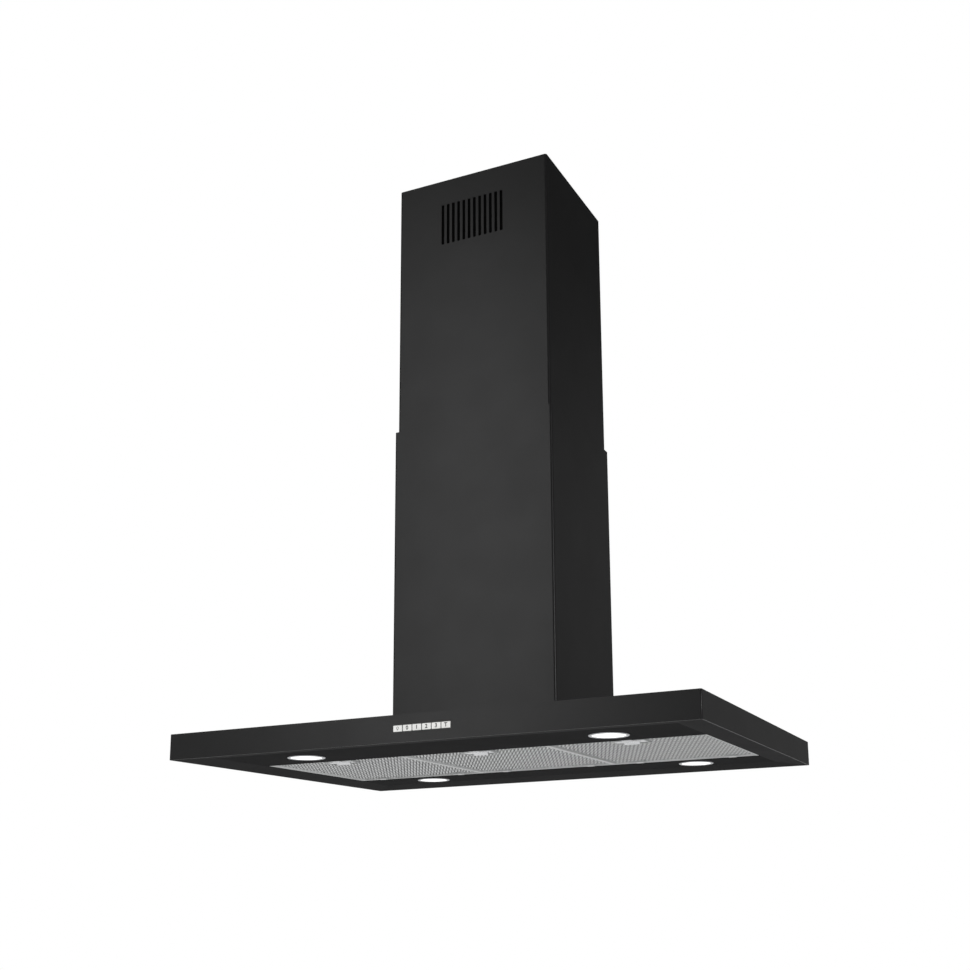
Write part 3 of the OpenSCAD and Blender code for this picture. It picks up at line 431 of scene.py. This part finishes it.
def cut_blocks(bm, blocks, reach):
    """Cuts rectangular openings into a sheet, splitting only the faces near each one."""
    for west, south, east, north in blocks:
        for axis, value in ((0, west), (0, east), (1, south), (1, north)):
            place, normal = Vector((0, 0, 0)), Vector((0, 0, 0))
            place[axis], normal[axis] = value, 1
            near = faces_within(bm, (west - reach, south - reach, east + reach, north + reach))
            edges = {edge for face in near for edge in face.edges}
            verts = {vert for face in near for vert in face.verts}
            bmesh.ops.bisect_plane(bm, geom=[*near, *edges, *verts], plane_co=place, plane_no=normal)
        bmesh.ops.delete(bm, geom=faces_within(bm, (west, south, east, north)), context="FACES")


def faces_within(bm, block):
    """The faces whose middle lies inside a rectangle."""
    found = []
    for face in bm.faces:
        middle = face.calc_center_median()
        if block[0] < middle.x < block[2] and block[1] < middle.y < block[3]:
            found.append(face)
    return found


def waved_sheet(bm, low, high, z, blocks):
    """A thin layer folded into slanted waves, its columns along the crests."""
    step_x = WAVE / math.cos(WAVE_SLANT) / WAVE_STEPS
    drift = math.tan(WAVE_SLANT)
    depth = high[1] - low[1]
    rows = round(depth / ROW_D)
    columns = math.ceil((high[0] - low[0] + drift * depth) / step_x)
    grid = []
    for i in range(columns + 1):
        lift = z + WAVE_H * (0.5 + 0.5 * math.sin(2 * math.pi * i / WAVE_STEPS))
        line = []
        for k in range(rows + 1):
            along = depth * k / rows
            line.append(bm.verts.new((low[0] + step_x * i - drift * along, low[1] + along, lift)))
        grid.append(line)
    for i in range(columns):
        for k in range(rows):
            bm.faces.new((grid[i][k], grid[i + 1][k], grid[i + 1][k + 1], grid[i][k + 1]))
    cut_to(bm, low, high, z)
    cut_blocks(bm, blocks, ROW_D)


def filter_blocks(side):
    """Rectangles of the hinge notches and the latch pocket, where no mesh shows."""
    low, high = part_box(side + "_filter_frame")
    middle = (low.x + high.x) / 2
    latch_low, latch_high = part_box(side + "_filter_latch")
    blocks = [(latch_low.x - POCKET_GAP, low.y, latch_high.x + POCKET_GAP, latch_high.y + POCKET_REAR)]
    for x in (middle - HINGE_X, middle + HINGE_X):
        blocks.append((x - MESH_NOTCH_HALF, high.y - MESH_NOTCH_D, x + MESH_NOTCH_HALF, high.y))
    return blocks


def add_prism(bm, start, end):
    """A closed bar between two like outlines."""
    near = [bm.verts.new(point) for point in start]
    far = [bm.verts.new(point) for point in end]
    count = len(near)
    for i in range(count):
        k = (i + 1) % count
        bm.faces.new((near[i], near[k], far[k], far[i]))
    bm.faces.new(near)
    bm.faces.new(list(reversed(far)))


# Rim bead: the flange it starts from, its width, its width at the rear, and the half notch it stops at
RIM = 3.5 * MM
RIM_LIFT = 0.05 * MM
BEAD = 1.6 * MM
BEAD_REAR = 0.7 * MM
NOTCH_HALF = 11.2 * MM


def rim_bead(side):
    """Slanted bead between the rim's flange and the mesh, open at the pocket and the hinge notches."""
    low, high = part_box(side + "_filter_frame")
    z_low = low.z + RIM_LIFT
    z_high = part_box(side + "_filter_mesh")[0].z
    pocket = filter_blocks(side)[0]
    x_low, x_high, y_low, y_high = low.x + RIM, high.x - RIM, low.y + RIM, high.y - RIM
    middle = (low.x + high.x) / 2
    bm = bmesh.new()
    for x, into in ((x_low, 1), (x_high, -1)):
        add_prism(bm, [(x, y_low, z_low), (x + into * BEAD, y_low + BEAD, z_high), (x, y_low, z_high)],
                  [(x, y_high, z_low), (x + into * BEAD, y_high - BEAD_REAR, z_high), (x, y_high, z_high)])
    front = [x_low, pocket[0], pocket[2], x_high]
    rear = [x_low, middle - HINGE_X - NOTCH_HALF, middle - HINGE_X + NOTCH_HALF,
            middle + HINGE_X - NOTCH_HALF, middle + HINGE_X + NOTCH_HALF, x_high]
    for y, into, stops in ((y_low, BEAD, front), (y_high, -BEAD_REAR, rear)):
        for start, end in zip(stops[::2], stops[1::2]):
            start_in = BEAD if start == x_low else 0
            end_in = BEAD if end == x_high else 0
            add_prism(bm, [(start, y, z_low), (start + start_in, y + into, z_high), (start, y, z_high)],
                      [(end, y, z_low), (end - end_in, y + into, z_high), (end, y, z_high)])
    piece_from(side + "_rim_bead", bm, RIM_METAL, side + "_filter", ())


# Latch: plate depth and thickness, rear lip, finger tab with its flat tip and scoop, tongue and round corners
LATCH_D, LATCH_T, LIP_T = 24 * MM, 1.2 * MM, 2 * MM
TAB_W, TAB_H, TAB_D = 26 * MM, 3.2 * MM, 7 * MM
TAB_TIP = 1 * MM
TAB_CURVE = 1.6
TAB_STEPS = 6
TONGUE_W = 18 * MM
CORNER = 4 * MM
CORNER_STEPS = 5
LATCH_EDGE, LATCH_EDGE_ANGLE, LATCH_SMOOTH = 0.3 * MM, 50, 30


def latch_piece(side):
    """Latch plate with round front corners, stiffening lip, scooped finger tab and tongue."""
    low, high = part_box(side + "_filter_latch")
    middle = (low.x + high.x) / 2
    plate_z = low.z + TAB_H
    y_front = high.y - LATCH_D
    bm = bmesh.new()
    outline = [(high.x, high.y), (low.x, high.y)]
    for corner_x, start in ((low.x + CORNER, 180), (high.x - CORNER, 270)):
        for step in range(CORNER_STEPS + 1):
            angle = math.radians(start + 90 * step / CORNER_STEPS)
            outline.append((corner_x + CORNER * math.cos(angle), y_front + CORNER + CORNER * math.sin(angle)))
    top_z = plate_z + LATCH_T
    add_prism(bm, [(x, y, plate_z) for x, y in outline], [(x, y, top_z) for x, y in outline])
    add_block(bm, (low.x, high.y - LIP_T, top_z), high)
    add_block(bm, (middle - TONGUE_W / 2, low.y, plate_z), (middle + TONGUE_W / 2, y_front, top_z))
    tip = high.y - TAB_TIP
    scoop = [(high.y, plate_z), (high.y, low.z), (tip, low.z)]
    for step in range(1, TAB_STEPS + 1):
        share = 1 - step / TAB_STEPS
        scoop.append((tip - (TAB_D - TAB_TIP) * (1 - share), plate_z - TAB_H * share ** TAB_CURVE))
    west, east = middle - TAB_W / 2, middle + TAB_W / 2
    add_prism(bm, [(west, y, z) for y, z in scoop], [(east, y, z) for y, z in scoop])
    latch = piece_from(side + "_latch_plate", bm, LATCH, side + "_latch", (side + "_filter_latch",),
                       LATCH_SMOOTH)
    add_bevel(latch, LATCH_EDGE, segments=2, angle=LATCH_EDGE_ANGLE)


def mesh_pieces(side):
    """The three layers of a filter's mesh."""
    low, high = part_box(side + "_filter_mesh")
    blocks = filter_blocks(side)
    body = side + "_filter"
    bm = bmesh.new()
    expanded_sheet(bm, low, high, low.z + SHEET_RISE, 1, blocks)
    outer = piece_from(side + "_mesh_outer", bm, MESH, body, (side + "_filter_mesh",))
    thick = outer.modifiers.new("thickness", "SOLIDIFY")
    thick.thickness = STRAND
    thick.offset = 1
    bm = bmesh.new()
    waved_sheet(bm, low, high, low.z + WAVE_Z, blocks)
    piece_from(side + "_mesh_waved", bm, INNER_MESH, body, (), WAVE_SMOOTH)
    bm = bmesh.new()
    expanded_sheet(bm, low, high, high.z - TOP_DROP, COARSE, blocks)
    piece_from(side + "_mesh_top", bm, INNER_MESH, body, ())


for side in SIDES:
    mesh_pieces(side)
    rim_bead(side)
    latch_piece(side)
    soften(nodes[side + "_filter_frame"], FRAME_EDGE)


# Lamps: a rolled ring and a domed lens

RING_STEPS = 72
LAMP_SMOOTH = 40
LENS_GAP, SLEEVE_T, FLANGE_T = 0.15 * MM, 2 * MM, 1.2 * MM
# Rolled edges of the ring, as millimetres outward from the bore or inward from the rim, and up
INNER_ROLL = ((0, 0.5), (0.3, 0.15), (0.9, 0))
OUTER_ROLL = ((1.4, 0), (0.5, 0.2), (0.1, 0.6))
# The lens bends up at its edge by a steep curve, and its axis is a hair wide
LENS_RISE, LENS_CURVE, LENS_STEPS = 0.5 * MM, 4, 8
AXIS_R = 0.0001 * MM


def lamp_pieces(lamp):
    """A lamp's ring and lens, in place of the two CAD nodes."""
    low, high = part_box(lamp + "_lamp_bezel")
    centre = ((low.x + high.x) / 2, (low.y + high.y) / 2)
    outer = (high.x - low.x) / 2
    lens_low, lens_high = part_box(lamp + "_lamp_lens")
    lens_r = (lens_high.x - lens_low.x) / 2
    bore = lens_r + LENS_GAP
    sleeve = bore + SLEEVE_T
    flange_top = low.z + FLANGE_T
    profile = [(bore + out * MM, low.z + up * MM) for out, up in INNER_ROLL]
    profile += [(outer - back * MM, low.z + up * MM) for back, up in OUTER_ROLL]
    profile += [(outer, flange_top), (sleeve, flange_top), (sleeve, high.z), (bore, high.z)]
    bm = bmesh.new()
    add_lathe(bm, profile, centre, RING_STEPS)
    piece_from(lamp + "_ring", bm, RING, "canopy", (lamp + "_lamp_bezel",), LAMP_SMOOTH)
    profile = [(AXIS_R, lens_low.z)]
    for step in range(1, LENS_STEPS + 1):
        share = step / LENS_STEPS
        profile.append((lens_r * share, lens_low.z + LENS_RISE * share ** LENS_CURVE))
    profile += [(lens_r, lens_high.z), (AXIS_R, lens_high.z)]
    bm = bmesh.new()
    add_lathe(bm, profile, centre, RING_STEPS)
    piece_from(lamp + "_lens", bm, LENS, "canopy", (lamp + "_lamp_lens",), LAMP_SMOOTH)


for lamp in LAMPS:
    lamp_pieces(lamp)


# Keys: rounded caps with small printed marks

KEY_MARKS = {"off_key": "0", "speed_1_key": "1", "speed_2_key": "2", "speed_3_key": "3", "timer_key": "T"}
MARK_SIZE = 8.4 * MM
MARK_BOLD = 0.2 * MM
MARK_DEPTH = 0.03 * MM
# The cap's face stands behind its marks, and a flange behind the panel reaches past it
CAP_BACK = 0.04 * MM
FLANGE_REACH = 1.2 * MM
FLANGE_FRONT, FLANGE_REAR = 2.9 * MM, 4.1 * MM
CAP_EDGE, CAP_EDGE_ANGLE = 0.5 * MM, 30


def key_cap(key):
    """A key's cap and flange, in place of the CAD node."""
    low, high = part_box(key)
    bm = bmesh.new()
    add_block(bm, (low.x, low.y + CAP_BACK, low.z + FLANGE_REACH), (high.x, high.y, high.z - FLANGE_REACH))
    add_block(bm, (low.x, low.y + FLANGE_FRONT, low.z), (high.x, low.y + FLANGE_REAR, high.z))
    cap = piece_from(key + "_cap", bm, KEYCAP, key, (key,))
    add_bevel(cap, CAP_EDGE, segments=3, angle=CAP_EDGE_ANGLE)
    return low, high


def text_mark(key, letter, low, high):
    """A printed digit or letter on a key's face."""
    curve = bpy.data.curves.new(key + "_mark", "FONT")
    curve.body = letter
    curve.size = MARK_SIZE
    curve.extrude = MARK_DEPTH / 2
    curve.offset = MARK_BOLD
    curve.align_x = "CENTER"
    curve.align_y = "CENTER"
    curve.materials.append(ICON)
    mark = bpy.data.objects.new(key + "_mark", curve)
    bpy.context.scene.collection.objects.link(mark)
    mark.location = ((low.x + high.x) / 2, low.y + MARK_DEPTH / 2, (low.z + high.z) / 2)
    mark.rotation_euler = (math.radians(90), 0, 0)
    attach(mark, key)


# Bulb mark: its ring, the ring's lift, and its two base lines as half width and height below the middle
BULB_STEPS, BULB_OUTER, BULB_INNER, BULB_LIFT = 24, 2.0 * MM, 1.35 * MM, 0.7 * MM
BULB_LINES = ((1.0 * MM, -1.75 * MM), (0.7 * MM, -2.6 * MM))
BULB_LINE_HALF = 0.25 * MM


def lamp_mark(key, low, high):
    """A small bulb: a ring with two base lines under it."""
    bm = bmesh.new()
    x, y, z = (low.x + high.x) / 2, low.y, (low.z + high.z) / 2
    section = ((BULB_OUTER, 0), (BULB_INNER, 0), (BULB_INNER, MARK_DEPTH), (BULB_OUTER, MARK_DEPTH))
    rings = []
    for step in range(BULB_STEPS):
        angle = 2 * math.pi * step / BULB_STEPS
        rings.append([bm.verts.new((x + radius * math.cos(angle), y + depth,
                                    z + BULB_LIFT + radius * math.sin(angle))) for radius, depth in section])
    for step in range(BULB_STEPS):
        here, there = rings[step], rings[(step + 1) % BULB_STEPS]
        for i in range(4):
            bm.faces.new((here[i], there[i], there[(i + 1) % 4], here[(i + 1) % 4]))
    for half, height in BULB_LINES:
        add_block(bm, (x - half, y, z + height - BULB_LINE_HALF),
                  (x + half, y + MARK_DEPTH, z + height + BULB_LINE_HALF))
    piece_from(key + "_mark", bm, ICON, key, ())


for key in KEYS:
    key_low, key_high = key_cap(key)
    if key in KEY_MARKS:
        text_mark(key, KEY_MARKS[key], key_low, key_high)
    else:
        lamp_mark(key, key_low, key_high)


# Camera, worked out from the photograph's own corners

CAMERA_AT = (0.9386, -1.9387, -1.2963)
YAW, PITCH, ROLL = 0.4068, 0.2106, -0.0174
LENS_MM, SHIFT_X, SHIFT_Y = 46.684, -0.0773, 0.1598
SENSOR_MM, CLIP_START = 36, 0.05

forward = Vector((-math.sin(YAW) * math.cos(PITCH), math.cos(YAW) * math.cos(PITCH), math.sin(PITCH)))
level = Vector((math.cos(YAW), math.sin(YAW), 0))
upright = level.cross(forward)
right = math.cos(ROLL) * level + math.sin(ROLL) * upright
up = -math.sin(ROLL) * level + math.cos(ROLL) * upright
camera_data = bpy.data.cameras.new("camera")
camera_data.sensor_width = SENSOR_MM
camera_data.lens = LENS_MM
camera_data.shift_x = SHIFT_X
camera_data.shift_y = SHIFT_Y
camera_data.clip_start = CLIP_START
camera = bpy.data.objects.new("camera", camera_data)
bpy.context.scene.collection.objects.link(camera)
camera.matrix_world = Matrix.Translation(CAMERA_AT) @ Matrix((
    (right.x, up.x, -forward.x, 0), (right.y, up.y, -forward.y, 0), (right.z, up.z, -forward.z, 0),
    (0, 0, 0, 1)))
bpy.context.scene.camera = camera


# Floor, light and background

FLOOR_Z = -2.5
FLOOR_HALF = 4.0
FLOOR_FADE = 3.0
FLOOR_TONES = (0.84, 0.86, 0.88)
FLOOR_ROUGHNESS = 0.7


def range_node(tree, value, from_low, from_high, to_low, to_high):
    """A soft step from one value to another."""
    node = tree.nodes.new("ShaderNodeMapRange")
    node.interpolation_type = "SMOOTHSTEP"
    node.inputs["From Min"].default_value = from_low
    node.inputs["From Max"].default_value = from_high
    node.inputs["To Min"].default_value = to_low
    node.inputs["To Max"].default_value = to_high
    tree.links.new(value, node.inputs["Value"])
    return node.outputs["Result"]


def mix_shaders(tree, factor, first, second):
    """Mixes two shaders by a factor."""
    mix = tree.nodes.new("ShaderNodeMixShader")
    tree.links.new(factor, mix.inputs["Fac"])
    tree.links.new(first, mix.inputs[1])
    tree.links.new(second, mix.inputs[2])
    return mix.outputs["Shader"]


def fade_out(tree, shader):
    """The floor ends softly, without an edge of its own in a view from above."""
    reach = tree.nodes.new("ShaderNodeVectorMath")
    reach.operation = "LENGTH"
    tree.links.new(object_coords(tree), reach.inputs[0])
    away = range_node(tree, reach.outputs["Value"], FLOOR_FADE, FLOOR_HALF, 0.0, 1.0)
    clear = tree.nodes.new("ShaderNodeBsdfTransparent")
    mixed = mix_shaders(tree, away, shader.outputs["BSDF"], clear.outputs["BSDF"])
    tree.links.new(mixed, tree.nodes["Material Output"].inputs["Surface"])


def make_floor():
    """A pale floor below the hood."""
    bm = bmesh.new()
    bmesh.ops.create_grid(bm, x_segments=4, y_segments=4, size=FLOOR_HALF)
    mesh = bpy.data.meshes.new("floor")
    bm.to_mesh(mesh)
    bm.free()
    floor = bpy.data.objects.new("floor", mesh)
    bpy.context.scene.collection.objects.link(floor)
    floor.location.z = FLOOR_Z
    dark, plain, light = [(tone, tone, tone) for tone in FLOOR_TONES]
    material, tree, shader = new_material("pale_floor", plain, 0.0, FLOOR_ROUGHNESS)
    color_from(tree, shader, object_noise(tree, FLOOR_CLOUDS), dark, light)
    fade_out(tree, shader)
    mesh.materials.append(material)


# Soft boxes: place, target, size and power
SOFTBOXES = {
    "front_softbox": ((-1.56, -3.3, 0.44), (-0.75, 0, 0.44), (0.95, 2.9), 16),
    "right_softbox": ((3.4, -1.7, -0.5), (0, 0, -0.65), (1.1, 1.4), 28),
    "under_softbox": ((0.2, -0.6, -2.3), (0, 0, -1.05), (2.2, 1.4), 5),
}


def area_light(name, place, target, size, power):
    """A rectangular lamp that looks at a target."""
    data = bpy.data.lights.new(name, "AREA")
    data.shape = "RECTANGLE"
    data.size, data.size_y = size
    data.energy = power
    light = bpy.data.objects.new(name, data)
    bpy.context.scene.collection.objects.link(light)
    light.location = place
    light.rotation_euler = (Vector(target) - Vector(place)).to_track_quat("-Z", "Y").to_euler()


make_floor()
for name, setting in SOFTBOXES.items():
    area_light(name, *setting)

# Plain surfaces see an even fill. Gloss and metal see a room that is dimmer overhead, with a ceiling glow
# and soft round patches, given as direction, cosine where a patch starts, cosine where it is full, and gain
FILL_STRENGTH = 0.75
ROOM_BASE = 0.115
LOW_PATCH = ((-0.42, 0.88, -0.2), 0.8, 0.97, 0.56)
BACKDROP_PATCH = ((-0.4, 0.87, 0.3), 0.88, 0.97, 1.0)
FRONT_PATCH = ((-0.75, -0.65, -0.05), 0.75, 1.0, 0.12)
SIDE_PATCH = ((0.45, 0.88, 0.12), 0.9, 1.0, 0.022)
# Soft steps by height: the horizon for the low patch and for the backdrop, the dim overhead and the ceiling
BELOW_HORIZON = (-0.05, 0.03, 1.0, 0.0)
ABOVE_HORIZON = (-0.03, 0.05, 0.0, 1.0)
OVERHEAD = (0.3, 0.5, 1.0, 0.08)
CEILING = (0.7, 0.95, 0.0, 0.8)


def glow_toward(tree, direction, centre, from_low, from_high, gain):
    """A soft round patch of light in one direction."""
    toward = tree.nodes.new("ShaderNodeVectorMath")
    toward.operation = "DOT_PRODUCT"
    toward.inputs[1].default_value = Vector(centre).normalized()
    tree.links.new(direction, toward.inputs[0])
    return range_node(tree, toward.outputs["Value"], from_low, from_high, 0.0, gain)


def background(tree, strength=1.0):
    """A white background and its strength socket."""
    node = tree.nodes.new("ShaderNodeBackground")
    node.inputs["Color"].default_value = (1, 1, 1, 1)
    node.inputs["Strength"].default_value = strength
    return node.outputs["Background"], node.inputs["Strength"]


def make_world():
    """A fill for plain surfaces, a room for gloss and metal, and white for the camera."""
    world = bpy.data.worlds.new("studio")
    bpy.context.scene.world = world
    world.use_nodes = True
    tree = world.node_tree
    tree.nodes.clear()
    output = tree.nodes.new("ShaderNodeOutputWorld")
    direction = tree.nodes.new("ShaderNodeTexCoord").outputs["Generated"]
    split = tree.nodes.new("ShaderNodeSeparateXYZ")
    tree.links.new(direction, split.inputs["Vector"])
    height = split.outputs["Z"]
    backdrop = math_node(tree, "MULTIPLY", range_node(tree, height, *ABOVE_HORIZON),
                         glow_toward(tree, direction, *BACKDROP_PATCH))
    low = math_node(tree, "MULTIPLY", range_node(tree, height, *BELOW_HORIZON),
                    glow_toward(tree, direction, *LOW_PATCH))
    front = math_node(tree, "ADD", glow_toward(tree, direction, *SIDE_PATCH),
                      glow_toward(tree, direction, *FRONT_PATCH))
    base = math_node(tree, "ADD", math_node(tree, "ADD", low, front), ROOM_BASE)
    room = math_node(tree, "MULTIPLY", base, range_node(tree, height, *OVERHEAD))
    bright = math_node(tree, "MAXIMUM", range_node(tree, height, *CEILING), backdrop)
    path = tree.nodes.new("ShaderNodeLightPath")
    camera_ray = path.outputs["Is Camera Ray"]
    glossy = math_node(tree, "MAXIMUM", path.outputs["Is Glossy Ray"],
                       path.outputs["Is Transmission Ray"])
    fill, _ = background(tree, FILL_STRENGTH)
    seen, seen_strength = background(tree)
    shown = math_node(tree, "MAXIMUM", math_node(tree, "MAXIMUM", room, bright), camera_ray)
    tree.links.new(shown, seen_strength)
    mixed = mix_shaders(tree, math_node(tree, "MAXIMUM", camera_ray, glossy), fill, seen)
    tree.links.new(mixed, output.inputs["Surface"])


make_world()

bpy.context.scene.view_settings.view_transform = "Standard"
